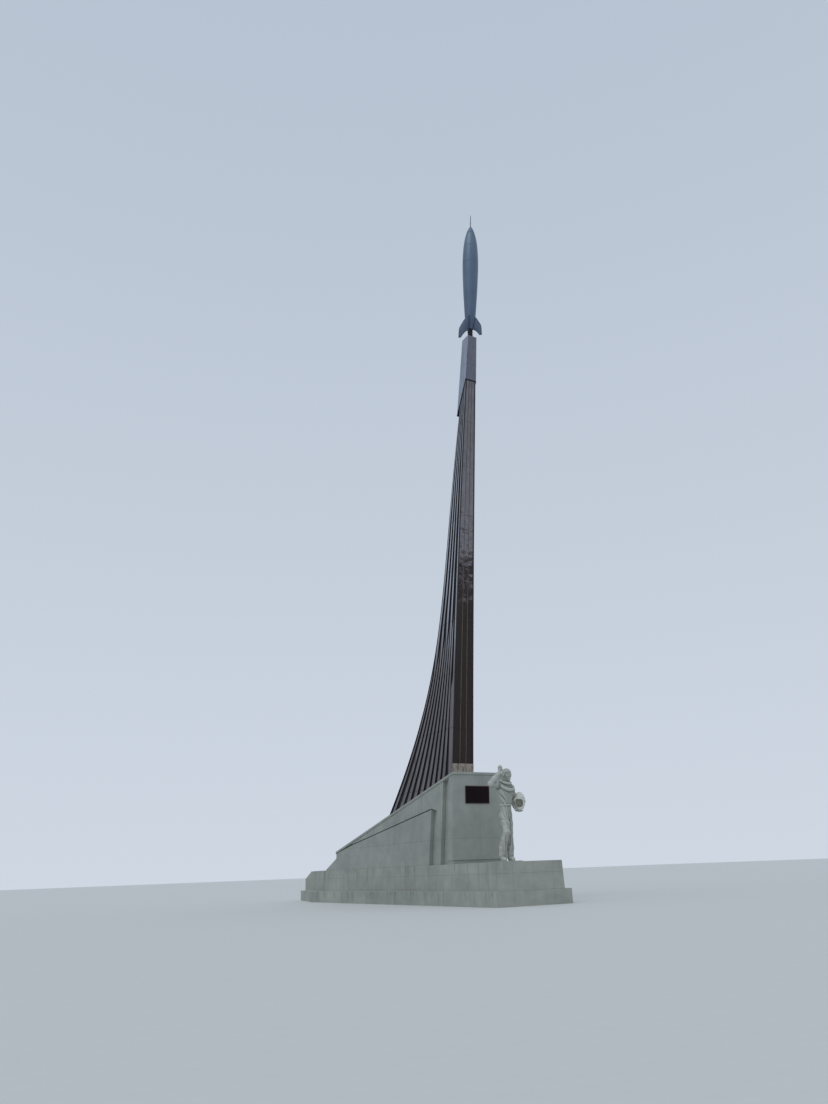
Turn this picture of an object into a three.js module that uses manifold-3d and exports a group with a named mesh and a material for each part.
// A space rocket on a tall curved metal plume, which rises from a stone wedge plinth with a statue before it.
// Millimetres, +Z up. The front faces -Y, the plinth's tail runs to +Y and x = 0 is the plane of symmetry.
// Every y below is measured from the front face of the ground step. At the end all pieces move together,
// so that the origin lies on the ground under the middle of that step.

import * as THREE from 'three';
import { mergeVertices } from 'three/addons/utils/BufferGeometryUtils.js';
import Module from 'manifold-3d';

// Driving dimensions

const GAP = 0.4;

// Both steps narrow towards the tail: from taperFrom to noseFrom, and then on to their end.
const GROUND = {
  top: 460, halfWidth: 1485, taperFrom: 15200, noseFrom: 17500, end: 18700, noseHalf: 860, endHalf: 650,
};
const STEP = {
  joint: 980, top: 1325, halfFoot: 1208, halfTop: 1184,
  taperFrom: 14950, noseFrom: 17650, end: 18640, noseHalf: 520, endHalf: 430, endTop: 995,
};
const JOINT_RECESS = 6;

// The wedge's top is one straight slope from the front edge to the tail.
const WEDGE = {
  front: 2815, frontTop: 4405, tail: 13100, slope: 0.225, halfFoot: 1170, batter: 0.02, skin: 150,
  footHeight: 120, footRecess: 30, copingThick: 90, copingLip: 25,
};
// Near-upright edges on the wedge's side: their y at the foot, and their forward lean for a unit of height.
const EDGE = {
  slabFront: { foot: 3060, lean: 0.08 },
  slabBack: { foot: 3338, lean: 0.07 },
  bandFront: { foot: 3883, lean: 0.13 },
  bandBack: { foot: 4246, lean: 0.125 },
  panelFront: { foot: 4712, lean: 0.145 },
};
const BAND = {
  end: 11400, frontTop: 4075, lineHeight: 3226, lineFrom: 4470, lineSlope: 0.135, lineWidth: 40, bevel: 60,
};
const RAMP = { end: 14310, high: 1790, low: 1345, flat: 60, halfWidth: 1150 };

// The plume's front and rear edges, as (y, z) points of two curves.
const PLUME = {
  front: [[3972, 4150], [2826, 13193], [1270, 22236]],
  rear: [[9625, 2880], [3719, 8619], [4724, 10562], [2150, 19290]],
  levels: 18,
  halfFoot: 470, halfTop: 200, bulge: 16,
  ribDepth: 42, sheet: 20, coreInset: 70,
  frontSheet: 24, frontPanel: 16, frontRib: 24, panelInset: 6, rearInset: 10,
};
// Side ribs, counted from the front: the place of a rib's middle at the foot and at the top, and its width,
// all as shares of the way from the front edge to the rear edge. Every second rib sinks in at mid-height.
const RIBS = [
  { foot: 0.12, top: 0.15, wide: 0.04, sinks: true },
  { foot: 0.195, top: 0.22, wide: 0.042, sinks: false },
  { foot: 0.275, top: 0.32, wide: 0.045, sinks: true },
  { foot: 0.36, top: 0.42, wide: 0.048, sinks: false },
  { foot: 0.455, top: 0.53, wide: 0.052, sinks: true },
  { foot: 0.56, top: 0.64, wide: 0.056, sinks: false },
  { foot: 0.67, top: 0.77, wide: 0.06, sinks: true },
  { foot: 0.785, top: 0.89, wide: 0.064, sinks: false },
  { foot: 0.92, top: 0.957, wide: 0.05, sinks: true },
];
const RIB_CHANGE = {
  spreadFrom: 8500, spreadTo: 11000, sinkFrom: 8900, sinkTo: 10100, wider: 1.6, narrower: 0.2, least: 0.03,
};
// The ribs at the corners. The front one is wide at the foot and narrow above.
const CORNER = { frontLow: 290, front: 120, lowTo: 6900, highFrom: 7400, rear: 30 };
const SKIRT = { height: 700, thick: 12, groove: 26, grooveDepth: 5, clear: 1.5 };
const SLEEVE = {
  top: 22236, frontFoot: 20250, rearFoot: 18900, rearFootY: 2410, rearTopY: 1714,
  proud: 15, plate: 12, capThick: 14,
};
const TRIM = { height: 34, proud: 6 };

// The rocket stands on its spigot and leans forward. Its heights run along its own axis from the cap.
const ROCKET = { y: 1423, lean: 6.75, sides: 32, seam: 22 };
const HULL = [
  { height: 400, radius: 118 },
  { height: 680, radius: 178 },
  { height: 960, radius: 226 },
  { height: 1600, radius: 266 },
  { height: 2090, radius: 294 },
  { height: 2720, radius: 321 },
  { height: 3320, radius: 338 },
  { height: 3900, radius: 336 },
  { height: 4425, radius: 305 },
  { height: 4840, radius: 252 },
  { height: 5140, radius: 179 },
  { height: 5340, radius: 110 },
  { height: 5470, radius: 40 },
];
// Each section of the hull runs between two heights of its outline.
const SECTIONS = [
  { name: 'rocket_tail_cone', from: 400, to: 960, rings: 5 },
  { name: 'rocket_hull_aft', from: 960, to: 2090, rings: 6 },
  { name: 'rocket_hull_middle', from: 2090, to: 3610, rings: 7 },
  { name: 'rocket_hull_fore', from: 3610, to: 4425, rings: 5 },
  { name: 'rocket_nose_cone', from: 4425, to: 5140, rings: 6 },
  { name: 'rocket_nose_cap', from: 5140, to: 5470, rings: 5 },
];
const SPIGOT = { flange: 165, flangeThick: 28, foot: 98, top: 112 };
const SPIKE = { foot: 30, tip: 13, top: 6076 };
// A fin's outline in (radius, height).
const FIN = {
  count: 4, thick: 40, rootTop: 985, bulge: [364, 772], shoulder: [486, 540],
  tipOut: [512, 90], tipIn: [400, 90],
  hollow: [300, 262], rootFoot: [192, 345], rootIn: [90, 378], clear: 1,
};
const SEAM_INSET = 3;

const PLAQUE = { x: -100, z: 3630, width: 957, height: 556, thick: 14, border: 28, frameThick: 20 };
const STATUE = { x: 0, y: 1450, baseWidth: 760, baseDepth: 800, baseHeight: 30, clear: 3 };
// The helmet is an egg with a round mouth cut into its front.
const HELMET = { at: [605, -158, 1935], radii: [195, 212, 300], mouthAt: [575, -350, 1850], mouth: 165 };
// Centres of the figure's joints, from the middle of its base. One leg carries the weight, the other steps up
// behind it. One arm is raised, and the other holds the helmet against the hip.
const JOINT = {
  hipRight: [-20, -30, 1500], kneeRight: [-88, -246, 920], ankleRight: [-126, 150, 335],
  hipLeft: [165, -20, 1500], kneeLeft: [172, -44, 880], ankleLeft: [190, 15, 150],
  shoulderRight: [-170, -50, 2450], elbowRight: [-622, -255, 2480], wristRight: [-300, -338, 2830],
  shoulderLeft: [355, -80, 2380], elbowLeft: [470, 40, 1920], wristLeft: [522, -58, 1655],
};
// Round limbs, each with the radius at its start and at its end.
const LIMBS = [
  { from: 'hipLeft', to: 'kneeLeft', radii: [136, 104] },
  { from: 'kneeLeft', to: 'ankleLeft', radii: [104, 80] },
  { from: 'hipRight', to: 'kneeRight', radii: [138, 104] },
  { from: 'kneeRight', to: 'ankleRight', radii: [102, 78] },
  { from: 'shoulderRight', to: 'elbowRight', radii: [114, 86] },
  { from: 'elbowRight', to: 'wristRight', radii: [92, 66] },
  { from: 'shoulderLeft', to: 'elbowLeft', radii: [110, 84] },
  { from: 'elbowLeft', to: 'wristLeft', radii: [84, 58] },
];
// Flatter forms: ellipses across a path, each with its centre, half width and half depth.
const LEFT_BOOT = [
  { at: [192, 100, 66], wide: 80, thick: 66 },
  { at: [178, -60, 66], wide: 86, thick: 66 },
  { at: [150, -200, 44], wide: 64, thick: 44 },
];
const RIGHT_BOOT = [
  { at: [-126, 225, 320], wide: 72, thick: 74 },
  { at: [-138, -20, 95], wide: 80, thick: 62 },
  { at: [-148, -165, 45], wide: 66, thick: 46 },
];
const TRUNK = [
  { at: [68, -40, 1330], wide: 116, thick: 106 },
  { at: [70, -36, 1440], wide: 196, thick: 158 },
  { at: [73, -32, 1560], wide: 210, thick: 168 },
  { at: [78, -38, 1800], wide: 222, thick: 168 },
  { at: [86, -56, 2120], wide: 284, thick: 192 },
  { at: [92, -65, 2320], wide: 308, thick: 194 },
  { at: [100, -75, 2460], wide: 268, thick: 158 },
  { at: [110, -85, 2550], wide: 150, thick: 128 },
];
const NECK = [
  { at: [115, -90, 2440], wide: 92, thick: 96 },
  { at: [142, -140, 2700], wide: 90, thick: 96 },
];
// Rounded forms, with a radius along x, y and z.
const BALLS = [
  { name: 'head', at: [150, -160, 2802], radii: [142, 172, 203] },
  { name: 'raised hand', at: [-228, -334, 2972], radii: [66, 42, 112] },
  { name: 'raised shoulder', at: [-170, -50, 2450], radii: [120, 118, 120] },
  { name: 'lowered hand', at: [565, -148, 1598], radii: [84, 120, 52] },
  { name: 'lowered shoulder', at: [355, -80, 2380], radii: [118, 116, 118] },
];
// The rolled collar dips at the front.
const COLLAR = { at: [110, -85, 2400], radius: 232, tube: 58, wide: 1.14, tilt: 38 };
const SMOOTHNESS = {
  limb: 12, trunk: 16, around: 18, upright: 12, tube: 8, ring: 20, finCurve: 8, halvings: 30,
};

// Small helpers

const wasm = await Module();
wasm.setup();

function solidOf(geometry) {
  const bare = geometry.clone();
  bare.deleteAttribute('normal');
  bare.deleteAttribute('uv');
  const merged = mergeVertices(bare, 1e-3);
  const mesh = new wasm.Mesh({
    numProp: 3,
    vertProperties: new Float32Array(merged.attributes.position.array),
    triVerts: new Uint32Array(merged.index.array),
  });
  return new wasm.Manifold(mesh);
}

function geometryOf(solid) {
  const mesh = solid.getMesh();
  const geometry = new THREE.BufferGeometry();
  const positions = new Float32Array(mesh.vertProperties);
  geometry.setAttribute('position', new THREE.BufferAttribute(positions, 3));
  geometry.setIndex(new THREE.BufferAttribute(new Uint32Array(mesh.triVerts), 1));
  return geometry;
}

// Turns all faces over when the closed surface encloses a negative volume.
function facingOut(positions, index) {
  let volume = 0;
  const corner = (i) => new THREE.Vector3(...positions[i]);
  for (let i = 0; i < index.length; i += 3) {
    volume += corner(index[i]).dot(corner(index[i + 1]).cross(corner(index[i + 2])));
  }
  const ordered = volume < 0 ? index.slice().reverse() : index;
  const geometry = new THREE.BufferGeometry();
  geometry.setAttribute('position', new THREE.Float32BufferAttribute(positions.flat(), 3));
  geometry.setIndex(ordered);
  return geometry;
}

// A closed skin through rings of equal length. The outline is the first ring's flat shape, for the end caps.
function loft(rings, outline) {
  const count = rings[0].length;
  const index = [];
  for (let r = 0; r + 1 < rings.length; r += 1) {
    for (let i = 0; i < count; i += 1) {
      const a = r * count + i;
      const b = r * count + ((i + 1) % count);
      index.push(a, b, b + count, a, b + count, a + count);
    }
  }
  const flat = outline.map(([u, v]) => new THREE.Vector2(u, v));
  const turned = THREE.ShapeUtils.isClockWise(flat);
  const last = (rings.length - 1) * count;
  for (const [a, b, c] of THREE.ShapeUtils.triangulateShape(flat, [])) {
    const [p, q] = turned ? [c, b] : [b, c];
    index.push(a, q, p, last + a, last + p, last + q);
  }
  return facingOut(rings.flat(), index);
}

function stone(color, roughness = 0.85) {
  return new THREE.MeshStandardMaterial({ color, roughness, metalness: 0 });
}

function metal(color, roughness, metalness = 0.85) {
  return new THREE.MeshStandardMaterial({ color, roughness, metalness });
}

const STONE_LIGHT = 0x848c8b;
const STONE_STEP = 0x7d8584;
const STATUE_WHITE = 0xb4bcb6;
const RIB_STEEL = 0x6f7177;
const SHEET_DARK = 0x232329;
const PANEL_DARK = 0x3a3231;
const PANEL_RIB = 0x8a7f74;
const SLEEVE_STEEL = 0x717b88;
const SKIRT_PALE = 0xa59b8f;
const TRIM_DARK = 0x17181c;
const HULL_BLUE = 0x55647a;
const NOSE_BLUE = 0x6b7f8b;
const SEAM_BLUE = 0x3b4656;
const SPIGOT_DARK = 0x1d1f26;
const SPIKE_GREY = 0x4a525c;
const PLAQUE_FACE = 0x1c0c12;
const PLAQUE_EDGE = 0x6e5a52;

const monument = new THREE.Group();

function place(name, geometry, material, parent = monument) {
  const mesh = new THREE.Mesh(geometry, material);
  mesh.name = name;
  parent.add(mesh);
  return mesh;
}

// Ground step and big step: cross-sections stand at stations along y

function alongY(stations) {
  const rings = stations.map(({ y, foot, top, low, high }) => [
    [-foot, y, low], [foot, y, low], [top, y, high], [-top, y, high],
  ]);
  return loft(rings, rings[0].map(([x, , z]) => [x, z]));
}

function stepStations(low, high, footScale, topScale) {
  const rows = [
    { y: 0, half: STEP.halfFoot, high },
    { y: STEP.taperFrom, half: STEP.halfFoot, high },
    { y: STEP.noseFrom, half: STEP.noseHalf, high },
    { y: STEP.end, half: STEP.endHalf, high: Math.min(high, STEP.endTop) },
  ];
  return rows.map(({ y, half, high: roof }) => (
    { y, foot: half * footScale, top: half * topScale, low, high: roof }
  ));
}

place('ground_step', alongY([
  { y: 0, foot: GROUND.halfWidth, top: GROUND.halfWidth, low: 0, high: GROUND.top },
  { y: GROUND.taperFrom, foot: GROUND.halfWidth, top: GROUND.halfWidth, low: 0, high: GROUND.top },
  { y: GROUND.noseFrom, foot: GROUND.noseHalf, top: GROUND.noseHalf, low: 0, high: GROUND.top },
  { y: GROUND.end, foot: GROUND.endHalf, top: GROUND.endHalf, low: 0, high: GROUND.top },
]), stone(STONE_STEP));

const middleScale = (STEP.halfFoot + STEP.halfTop) / 2 / STEP.halfFoot;
const topScale = STEP.halfTop / STEP.halfFoot;
place('big_step_lower_course', alongY(
  stepStations(GROUND.top + GAP, STEP.joint - JOINT_RECESS, 1, middleScale),
), stone(STONE_LIGHT));
place('big_step_upper_course', alongY(
  stepStations(STEP.joint - JOINT_RECESS + GAP, STEP.top, middleScale, topScale),
), stone(STONE_LIGHT));

// Stone wedge: a core, a leaning front slab, raised bands and panels on both sides, and a coping

const wedgeFoot = STEP.top + GAP;

function copingTop(y) {
  return WEDGE.frontTop - WEDGE.slope * (y - WEDGE.front);
}

function copingUnder(y) {
  return copingTop(y) - WEDGE.copingThick - GAP;
}

function wallHalf(z) {
  return WEDGE.halfFoot - WEDGE.batter * (z - STEP.top);
}

function edgeY(edge, z) {
  return edge.foot - edge.lean * (z - STEP.top);
}

// The point where a leaning edge meets the underside of the coping.
function edgeUnderCoping(edge) {
  const reach = copingUnder(0) - STEP.top;
  const rise = (reach - WEDGE.slope * edge.foot) / (1 - WEDGE.slope * edge.lean);
  const z = STEP.top + rise;
  return [edgeY(edge, z), z];
}

// A side outline in (y, z), given thickness in x between two half-width rules.
function sidePlate(outline, inner, outer) {
  const rings = [inner, outer].map((half) => outline.map(([y, z]) => [half(z), y, z]));
  return loft(rings, outline);
}

const coreHalf = (z) => wallHalf(z) - WEDGE.skin;
const mirrored = (half) => (z) => -half(z);

function between(edge, z, offset = 0) {
  return [edgeY(edge, z) + offset, z];
}

const slabFoot = wedgeFoot + WEDGE.footHeight;
const [coreTopY, coreTopZ] = edgeUnderCoping(EDGE.slabBack);
place('wedge_core', sidePlate([
  between(EDGE.slabBack, wedgeFoot, GAP),
  [WEDGE.tail, wedgeFoot],
  [WEDGE.tail, copingUnder(WEDGE.tail)],
  [coreTopY + GAP, coreTopZ - WEDGE.slope * GAP],
], mirrored(coreHalf), coreHalf), stone(STONE_LIGHT));

place('wedge_front_slab', sidePlate([
  between(EDGE.slabFront, slabFoot),
  between(EDGE.slabBack, slabFoot),
  [coreTopY, coreTopZ],
  edgeUnderCoping(EDGE.slabFront),
], mirrored(wallHalf), wallHalf), stone(STONE_LIGHT));

const footHalf = (z) => wallHalf(z) - WEDGE.footRecess;
place('wedge_front_foot', sidePlate([
  between(EDGE.slabFront, wedgeFoot, WEDGE.footRecess),
  between(EDGE.slabBack, wedgeFoot),
  between(EDGE.slabBack, slabFoot - GAP),
  between(EDGE.slabFront, slabFoot - GAP, WEDGE.footRecess),
], mirrored(footHalf), footHalf), stone(STONE_STEP));

function bandLine(y) {
  return BAND.lineHeight - BAND.lineSlope * (y - BAND.lineFrom);
}

const bandOutline = [
  between(EDGE.bandFront, wedgeFoot),
  between(EDGE.bandBack, wedgeFoot),
  between(EDGE.bandBack, BAND.lineHeight - BAND.bevel),
  [BAND.lineFrom, BAND.lineHeight + BAND.lineWidth],
  [BAND.end, bandLine(BAND.end) + BAND.lineWidth],
  [BAND.end, copingUnder(BAND.end)],
  [edgeY(EDGE.bandFront, BAND.frontTop), copingUnder(edgeY(EDGE.bandFront, BAND.frontTop))],
];
const panelOutline = [
  between(EDGE.panelFront, wedgeFoot),
  [WEDGE.tail, wedgeFoot],
  [WEDGE.tail, Math.min(bandLine(WEDGE.tail), copingUnder(WEDGE.tail))],
  [BAND.end + BAND.lineWidth, Math.min(bandLine(BAND.end), copingUnder(BAND.end + BAND.lineWidth))],
  between(EDGE.panelFront, bandLine(edgeY(EDGE.panelFront, BAND.lineHeight))),
];
for (const { side, sign } of [{ side: 'left', sign: -1 }, { side: 'right', sign: 1 }]) {
  const inner = (z) => sign * (coreHalf(z) + GAP);
  const outer = (z) => sign * wallHalf(z);
  place(`wedge_band_${side}`, sidePlate(bandOutline, inner, outer), stone(STONE_LIGHT));
  place(`wedge_panel_${side}`, sidePlate(panelOutline, inner, outer), stone(STONE_LIGHT));
}

const lipHalf = (z) => wallHalf(z) + WEDGE.copingLip;
const copingFront = WEDGE.front - WEDGE.copingLip;
const copingBack = WEDGE.tail + WEDGE.copingLip;
place('wedge_coping', sidePlate([
  [copingFront, copingTop(copingFront) - WEDGE.copingThick],
  [copingBack, copingTop(copingBack) - WEDGE.copingThick],
  [copingBack, copingTop(copingBack)],
  [copingFront, copingTop(copingFront)],
], mirrored(lipHalf), lipHalf), stone(STONE_LIGHT));

const rampHalf = () => RAMP.halfWidth;
place('wedge_tail_ramp', sidePlate([
  [WEDGE.tail + GAP, wedgeFoot],
  [RAMP.end, wedgeFoot],
  [RAMP.end, RAMP.low],
  [WEDGE.tail + RAMP.flat, RAMP.high],
  [WEDGE.tail + GAP, RAMP.high],
], mirrored(rampHalf), rampHalf), stone(STONE_LIGHT));

// Blank plaque in its thin frame, on the leaning front slab

const slabLean = Math.atan(EDGE.slabFront.lean);
const plaqueGroup = new THREE.Group();
plaqueGroup.position.set(PLAQUE.x, edgeY(EDGE.slabFront, PLAQUE.z), PLAQUE.z);
plaqueGroup.rotation.x = slabLean;
monument.add(plaqueGroup);

const frameWidth = PLAQUE.width + 2 * PLAQUE.border;
const frameHeight = PLAQUE.height + 2 * PLAQUE.border;
const plaqueFrame = new THREE.BoxGeometry(frameWidth, PLAQUE.frameThick, frameHeight);
place('plaque_frame', plaqueFrame, metal(PLAQUE_EDGE, 0.4), plaqueGroup)
  .position.y = -PLAQUE.frameThick / 2 - GAP;
const plaque = new THREE.BoxGeometry(PLAQUE.width, PLAQUE.thick, PLAQUE.height);
place('plaque', plaque, stone(PLAQUE_FACE, 0.2), plaqueGroup)
  .position.y = -PLAQUE.frameThick - PLAQUE.thick / 2 - 2 * GAP;

// Plume: each level is a straight line from the front edge curve to the rear edge curve

const toVector = ([y, z]) => new THREE.Vector2(y, z);
const frontCurve = new THREE.QuadraticBezierCurve(...PLUME.front.map(toVector));
const rearCurve = new THREE.CubicBezierCurve(...PLUME.rear.map(toVector));

function plumeHalf(z) {
  const share = (z - PLUME.front[0][1]) / (SLEEVE.top - PLUME.front[0][1]);
  const swell = 4 * share * (1 - share) * PLUME.bulge;
  return PLUME.halfFoot + (PLUME.halfTop - PLUME.halfFoot) * share + swell;
}

function frontPoint(z) {
  const share = (z - PLUME.front[0][1]) / (PLUME.front[2][1] - PLUME.front[0][1]);
  return frontCurve.getPoint(share);
}

// The sleeve's lower edge is a slanting line from its front foot down to its rear foot.
const sleeveFrontFoot = frontPoint(SLEEVE.frontFoot);
const sleeveFrontY = sleeveFrontFoot.x - SLEEVE.proud;

function sleeveFoot(y) {
  const fall = (SLEEVE.frontFoot - SLEEVE.rearFoot) / (SLEEVE.rearFootY - sleeveFrontY);
  return SLEEVE.frontFoot - fall * (y - sleeveFrontY);
}

// Levels of the ribbed part: from the coping's slope up to the sleeve's slanting lower edge.
const ribbedLevels = [];
for (let i = 0; i <= PLUME.levels; i += 1) {
  const share = i / PLUME.levels;
  const front = frontPoint(THREE.MathUtils.lerp(PLUME.front[0][1], SLEEVE.frontFoot, share));
  ribbedLevels.push({ front, rear: rearCurve.getPoint(share) });
}
for (const end of ['front', 'rear']) {
  const foot = ribbedLevels[0][end];
  foot.y = copingTop(foot.x) + GAP;
  const head = ribbedLevels[PLUME.levels][end];
  head.y = sleeveFoot(head.x);
}

// A point on a level, at a distance back from the front edge and at a given x.
function onLevel({ front, rear }, back, x) {
  const point = front.clone().lerp(rear, back / front.distanceTo(rear));
  return [x, point.x, point.y];
}

// Lofts a section through the levels. For a level's depth, half width and mean height it gives
// (distance back, x) pairs.
function throughLevels(levels, section) {
  const flat = levels.map(({ front, rear }) => {
    const height = (front.y + rear.y) / 2;
    return section(front.distanceTo(rear), plumeHalf(height), height);
  });
  const rings = levels.map((level, i) => flat[i].map(([back, x]) => onLevel(level, back, x)));
  return loft(rings, flat[0]);
}

function box2(backFrom, backTo, xFrom, xTo) {
  return [[backFrom, xFrom], [backTo, xFrom], [backTo, xTo], [backFrom, xTo]];
}

place('plume_core', throughLevels(ribbedLevels, (depth, half) => box2(
  PLUME.coreInset, depth - PLUME.coreInset, -(half - PLUME.coreInset), half - PLUME.coreInset,
)), metal(SHEET_DARK, 0.7));

// The ribbed side: a thin sheet with ribs that fan out towards the foot.
function ribbedSection(sign) {
  const { lerp, smoothstep } = THREE.MathUtils;
  return (depth, half, height) => {
    const inner = half - PLUME.ribDepth - PLUME.sheet;
    const floor = half - PLUME.ribDepth;
    const spread = smoothstep(height, RIB_CHANGE.spreadFrom, RIB_CHANGE.spreadTo);
    const sunk = smoothstep(height, RIB_CHANGE.sinkFrom, RIB_CHANGE.sinkTo);
    const corner = lerp(CORNER.frontLow, CORNER.front, smoothstep(height, CORNER.lowTo, CORNER.highFrom));
    const points = [[0, inner], [0, half], [corner, half], [corner, floor]];
    for (const { foot, top, wide, sinks } of RIBS) {
      const middle = depth * lerp(foot, top, spread);
      const left = sinks ? Math.max(1 - sunk, RIB_CHANGE.least) : 1;
      const growth = sinks ? lerp(RIB_CHANGE.narrower, 1, left) : lerp(1, RIB_CHANGE.wider, sunk);
      const from = middle - depth * wide * growth / 2;
      const to = middle + depth * wide * growth / 2;
      const face = floor + PLUME.ribDepth * left;
      points.push([from, floor], [from, face], [to, face], [to, floor]);
    }
    const rear = depth - CORNER.rear;
    points.push([rear, floor], [rear, half], [depth, half], [depth, inner]);
    return points.map(([back, x]) => [back, sign * x]);
  };
}
place('plume_ribs_left', throughLevels(ribbedLevels, ribbedSection(-1)), metal(RIB_STEEL, 0.45));
place('plume_ribs_right', throughLevels(ribbedLevels, ribbedSection(1)), metal(RIB_STEEL, 0.45));

// Between the ribbed sides: the front sheet with two thin ribs, its three panels, and the rear strip.
const innerHalf = (half) => half - PLUME.ribDepth - PLUME.sheet - GAP;

place('plume_front_ribs', throughLevels(ribbedLevels, (depth, half) => {
  const wide = innerHalf(half);
  const low = PLUME.panelInset + PLUME.frontPanel + 2 * GAP;
  const middle = wide / 3;
  const reach = PLUME.frontRib / 2;
  const rib = (x) => [[low, x - reach], [0, x - reach], [0, x + reach], [low, x + reach]];
  return [
    [low + PLUME.frontSheet, -wide], [low, -wide], ...rib(-middle), ...rib(middle),
    [low, wide], [low + PLUME.frontSheet, wide],
  ];
}), metal(PANEL_RIB, 0.35));

const PANEL_FIELDS = [
  { name: 'plume_front_panel_left', from: -1, to: -1 / 3 },
  { name: 'plume_front_panel_middle', from: -1 / 3, to: 1 / 3 },
  { name: 'plume_front_panel_right', from: 1 / 3, to: 1 },
];
for (const { name, from, to } of PANEL_FIELDS) {
  const clear = PLUME.frontRib / 2 + GAP;
  place(name, throughLevels(ribbedLevels, (depth, half) => {
    const wide = innerHalf(half);
    const start = wide * from + (from > -1 ? clear : 0);
    const stop = wide * to - (to < 1 ? clear : 0);
    return box2(PLUME.panelInset, PLUME.panelInset + PLUME.frontPanel, start, stop);
  }), metal(PANEL_DARK, 0.25));
}

place('plume_rear_strip', throughLevels(ribbedLevels, (depth, half) => box2(
  depth - PLUME.coreInset + GAP, depth - PLUME.rearInset, -innerHalf(half), innerHalf(half),
)), metal(RIB_STEEL, 0.45));

// Pale skirt plate across the foot of the front, grooved where the two ribs come down
const skirtLevels = [0, 1].map((end) => {
  const z = copingTop(PLUME.front[0][0]) + 2 * GAP + SKIRT.height * end;
  const front = frontPoint(z);
  const back = PLUME.halfFoot;
  return { front, rear: new THREE.Vector2(front.x + back, z - WEDGE.slope * back * (1 - end)) };
});
place('plume_front_skirt', throughLevels(skirtLevels, (depth, half) => {
  const outer = -SKIRT.thick - SKIRT.clear;
  const floor = outer + SKIRT.grooveDepth;
  const reach = SKIRT.groove / 2;
  const middle = innerHalf(half) / 3;
  const groove = (x) => [[outer, x - reach], [floor, x - reach], [floor, x + reach], [outer, x + reach]];
  const inner = -SKIRT.clear;
  return [
    [inner, -half], [outer, -half], ...groove(-middle), ...groove(middle), [outer, half], [inner, half],
  ];
}), metal(SKIRT_PALE, 0.5, 0.4));

// Plain sleeve over the column's upper end, its sides cut on a slant

const sleeveFrontTop = frontPoint(SLEEVE.top);
const sleeveLevels = [
  {
    front: new THREE.Vector2(sleeveFrontY, SLEEVE.frontFoot),
    rear: new THREE.Vector2(SLEEVE.rearFootY, SLEEVE.rearFoot),
  },
  {
    front: new THREE.Vector2(sleeveFrontTop.x - SLEEVE.proud, SLEEVE.top - SLEEVE.capThick - GAP),
    rear: new THREE.Vector2(SLEEVE.rearTopY, SLEEVE.top - SLEEVE.capThick - GAP),
  },
];
// The plates start a little above the column's last level, so that they never touch it.
for (const end of ['front', 'rear']) {
  sleeveLevels[0][end].y += TRIM.height + 2 * GAP;
}
const sleeveHalf = (half) => half + SLEEVE.proud;
place('sleeve_core', throughLevels(sleeveLevels, (depth, half) => {
  const wide = sleeveHalf(half) - SLEEVE.plate - GAP;
  return box2(SLEEVE.plate + GAP, depth - SLEEVE.plate - GAP, -wide, wide);
}), metal(SHEET_DARK, 0.7));
for (const { side, sign } of [{ side: 'left', sign: -1 }, { side: 'right', sign: 1 }]) {
  place(`sleeve_${side}`, throughLevels(sleeveLevels, (depth, half) => {
    const wide = sleeveHalf(half);
    return box2(0, depth, sign * (wide - SLEEVE.plate), sign * wide);
  }), metal(SLEEVE_STEEL, 0.4));
}
for (const { name, at } of [{ name: 'sleeve_front', at: 0 }, { name: 'sleeve_rear', at: 1 }]) {
  place(name, throughLevels(sleeveLevels, (depth, half) => {
    const wide = sleeveHalf(half) - SLEEVE.plate - GAP;
    const start = at * (depth - SLEEVE.plate);
    return box2(start, start + SLEEVE.plate, -wide, wide);
  }), metal(SLEEVE_STEEL, 0.4));
}
// Dark trim under the sleeve's lower edge.
const trimLevels = [0, 1].map((end) => {
  const rise = GAP + (TRIM.height - GAP) * end;
  return {
    front: new THREE.Vector2(sleeveFrontY, SLEEVE.frontFoot + rise),
    rear: new THREE.Vector2(SLEEVE.rearFootY, SLEEVE.rearFoot + rise),
  };
});
place('sleeve_foot_trim', throughLevels(trimLevels, (depth, half) => {
  const wide = sleeveHalf(half) + TRIM.proud;
  return box2(-TRIM.proud, depth + TRIM.proud, -wide, wide);
}), metal(TRIM_DARK, 0.6));

const capHalf = plumeHalf(SLEEVE.top) + SLEEVE.proud;
const capFront = sleeveLevels[1].front.x;
const capDepth = SLEEVE.rearTopY - capFront;
place('sleeve_cap', new THREE.BoxGeometry(2 * capHalf, capDepth, SLEEVE.capThick), metal(SLEEVE_STEEL, 0.4))
  .position.set(0, capFront + capDepth / 2, SLEEVE.top - SLEEVE.capThick / 2);

// Rocket, built along its own axis and then leant forward

const rocket = new THREE.Group();
rocket.rotation.x = THREE.MathUtils.degToRad(ROCKET.lean);
const flangeDrop = Math.tan(rocket.rotation.x) * SPIGOT.flange;
rocket.position.set(0, ROCKET.y, SLEEVE.top + flangeDrop + GAP);
monument.add(rocket);

const hullCurve = new THREE.SplineCurve(HULL.map(({ height, radius }) => new THREE.Vector2(radius, height)));

function hullRadius(height) {
  let low = 0;
  let high = 1;
  for (let i = 0; i < SMOOTHNESS.halvings; i += 1) {
    const middle = (low + high) / 2;
    if (hullCurve.getPoint(middle).y < height) {
      low = middle;
    } else {
      high = middle;
    }
  }
  return hullCurve.getPoint(low).x;
}

// A turned solid from (radius, height) pairs, closed on its axis, standing along +Z.
function turned(pairs, sides = ROCKET.sides) {
  const foot = pairs[0][1];
  const roof = pairs[pairs.length - 1][1];
  const profile = [[0, foot], ...pairs, [0, roof]].map(toVector);
  return new THREE.LatheGeometry(profile, sides).rotateX(Math.PI / 2);
}

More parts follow.
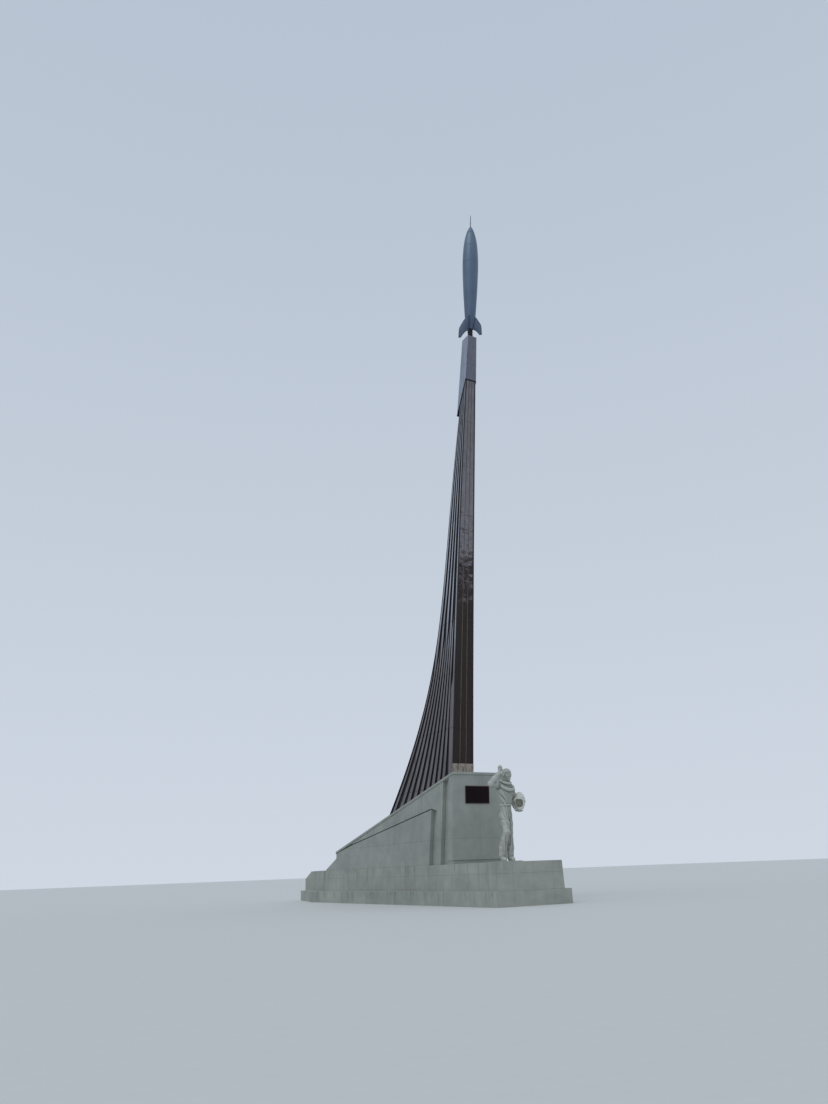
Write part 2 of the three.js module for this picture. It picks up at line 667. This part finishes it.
function hullPairs(from, to, rings, grow = 0) {
  const pairs = [];
  for (let i = 0; i <= rings; i += 1) {
    const height = from + (to - from) * i / rings;
    pairs.push([hullRadius(height) + grow, height]);
  }
  return pairs;
}

place('rocket_spigot', turned([
  [SPIGOT.flange, 0], [SPIGOT.flange, SPIGOT.flangeThick], [SPIGOT.foot, SPIGOT.flangeThick],
  [SPIGOT.top, HULL[0].height - GAP],
]), metal(SPIGOT_DARK, 0.5), rocket);

for (const [i, { name, from, to, rings }] of SECTIONS.entries()) {
  const start = i === 0 ? from : from + ROCKET.seam / 2 + GAP;
  const stop = i === SECTIONS.length - 1 ? to : to - ROCKET.seam / 2 - GAP;
  const colour = name.includes('nose') ? NOSE_BLUE : HULL_BLUE;
  place(name, turned(hullPairs(start, stop, rings)), metal(colour, 0.5, 0.3), rocket);
  if (i > 0) {
    const low = from - ROCKET.seam / 2;
    const seam = turned(hullPairs(low, low + ROCKET.seam, 1, -SEAM_INSET));
    place(`rocket_seam_${i}`, seam, metal(SEAM_BLUE, 0.6, 0.3), rocket);
  }
}
place('rocket_spike', turned([
  [SPIKE.foot, SECTIONS.at(-1).to + GAP], [SPIKE.tip, SPIKE.top],
], SMOOTHNESS.limb), metal(SPIKE_GREY, 0.4), rocket);

// Fins: swept plates with a hollowed trailing edge, cut to sit on the tail.
const finShape = new THREE.Shape();
finShape.moveTo(FIN.rootIn[0], FIN.rootTop);
finShape.lineTo(hullRadius(FIN.rootTop), FIN.rootTop);
finShape.quadraticCurveTo(...FIN.bulge, ...FIN.shoulder);
finShape.lineTo(...FIN.tipOut);
finShape.lineTo(...FIN.tipIn);
finShape.quadraticCurveTo(...FIN.hollow, ...FIN.rootFoot);
finShape.lineTo(...FIN.rootIn);
finShape.closePath();
const finPlate = new THREE.ExtrudeGeometry(finShape, {
  depth: FIN.thick, bevelEnabled: false, curveSegments: SMOOTHNESS.finCurve,
}).translate(0, 0, -FIN.thick / 2).rotateX(Math.PI / 2);
const tailRoom = solidOf(turned([
  ...hullPairs(HULL[0].height - FIN.clear, SECTIONS[1].to, 2 * SECTIONS[1].rings, FIN.clear),
]));
const spigotRoom = solidOf(turned([[HULL[0].radius, 0], [HULL[0].radius, HULL[0].height]]));
const finSolid = solidOf(finPlate).subtract(tailRoom).subtract(spigotRoom);
for (let i = 0; i < FIN.count; i += 1) {
  const turn = Math.PI / 4 + i * Math.PI / 2;
  place(`rocket_fin_${i + 1}`, geometryOf(finSolid), metal(HULL_BLUE, 0.5, 0.3), rocket).rotation.z = turn;
}

// Statue: a standing figure in a suit, one arm raised, a helmet held at the other hip

const statueGroup = new THREE.Group();
statueGroup.position.set(STATUE.x, STATUE.y, STEP.top + STATUE.baseHeight + 2 * GAP);
monument.add(statueGroup);

const statueBase = new THREE.BoxGeometry(STATUE.baseWidth, STATUE.baseDepth, STATUE.baseHeight);
place('statue_base', statueBase, stone(STONE_LIGHT))
  .position.set(STATUE.x, STATUE.y, STEP.top + GAP + STATUE.baseHeight / 2);

// A limb is a skin through ellipses across its path, each with a centre, a half width and a half depth.
function limb(stations, sides = SMOOTHNESS.limb) {
  const first = new THREE.Vector3(...stations[0].at);
  const last = new THREE.Vector3(...stations.at(-1).at);
  const along = last.clone().sub(first).normalize();
  const level = Math.abs(along.y) > Math.abs(along.z);
  const reference = level ? new THREE.Vector3(0, 0, 1) : new THREE.Vector3(0, 1, 0);
  const across = reference.clone().cross(along).normalize();
  const deep = along.clone().cross(across);
  const rings = stations.map(({ at, wide, thick }) => {
    const ring = [];
    for (let i = 0; i < sides; i += 1) {
      const angle = i / sides * 2 * Math.PI;
      const point = new THREE.Vector3(...at)
        .addScaledVector(across, Math.cos(angle) * wide)
        .addScaledVector(deep, Math.sin(angle) * thick);
      ring.push(point.toArray());
    }
    return ring;
  });
  const outline = rings[0].map((_, i) => {
    const angle = i / sides * 2 * Math.PI;
    return [Math.cos(angle), Math.sin(angle)];
  });
  return solidOf(loft(rings, outline));
}

function ball(at, radii) {
  const sphere = new THREE.SphereGeometry(1, SMOOTHNESS.around, SMOOTHNESS.upright);
  return solidOf(sphere.rotateX(Math.PI / 2).scale(...radii).translate(...at));
}

// A round limb between two joints, with a ball at its far end, where the next limb begins.
function jointed({ from, to, radii: [start, end] }) {
  const shaft = limb([
    { at: JOINT[from], wide: start, thick: start }, { at: JOINT[to], wide: end, thick: end },
  ]);
  return shaft.add(ball(JOINT[to], [end, end, end]));
}

const collarTube = new THREE.TorusGeometry(COLLAR.radius, COLLAR.tube, SMOOTHNESS.tube, SMOOTHNESS.ring)
  .scale(COLLAR.wide, 1, 1)
  .rotateX(THREE.MathUtils.degToRad(COLLAR.tilt))
  .translate(...COLLAR.at);
const helmetForm = (grow) => ball(HELMET.at, HELMET.radii.map((radius) => radius + grow));
const figureForms = [
  limb(TRUNK, SMOOTHNESS.trunk), limb(NECK), limb(LEFT_BOOT), limb(RIGHT_BOOT), solidOf(collarTube),
  ...LIMBS.map(jointed),
  ...BALLS.map(({ at, radii }) => ball(at, radii)),
];
// Nothing of the figure reaches below its soles, and the helmet keeps its own room.
const soleRoom = 2 * STATUE.baseWidth;
const soleBox = new THREE.BoxGeometry(soleRoom, soleRoom, soleRoom).translate(0, 0, -soleRoom / 2);
const figure = figureForms.reduce((whole, part) => whole.add(part))
  .subtract(solidOf(soleBox))
  .subtract(helmetForm(STATUE.clear));
place('statue_figure', geometryOf(figure), stone(STATUE_WHITE, 0.6), statueGroup);

const helmetMouth = ball(HELMET.mouthAt, [HELMET.mouth, HELMET.mouth, HELMET.mouth]);
const helmet = helmetForm(0).subtract(helmetMouth);
place('statue_helmet', geometryOf(helmet), stone(STATUE_WHITE, 0.6), statueGroup);

// The origin moves to the ground under the middle of the ground step.
monument.position.y = -GROUND.end / 2;

export default monument;
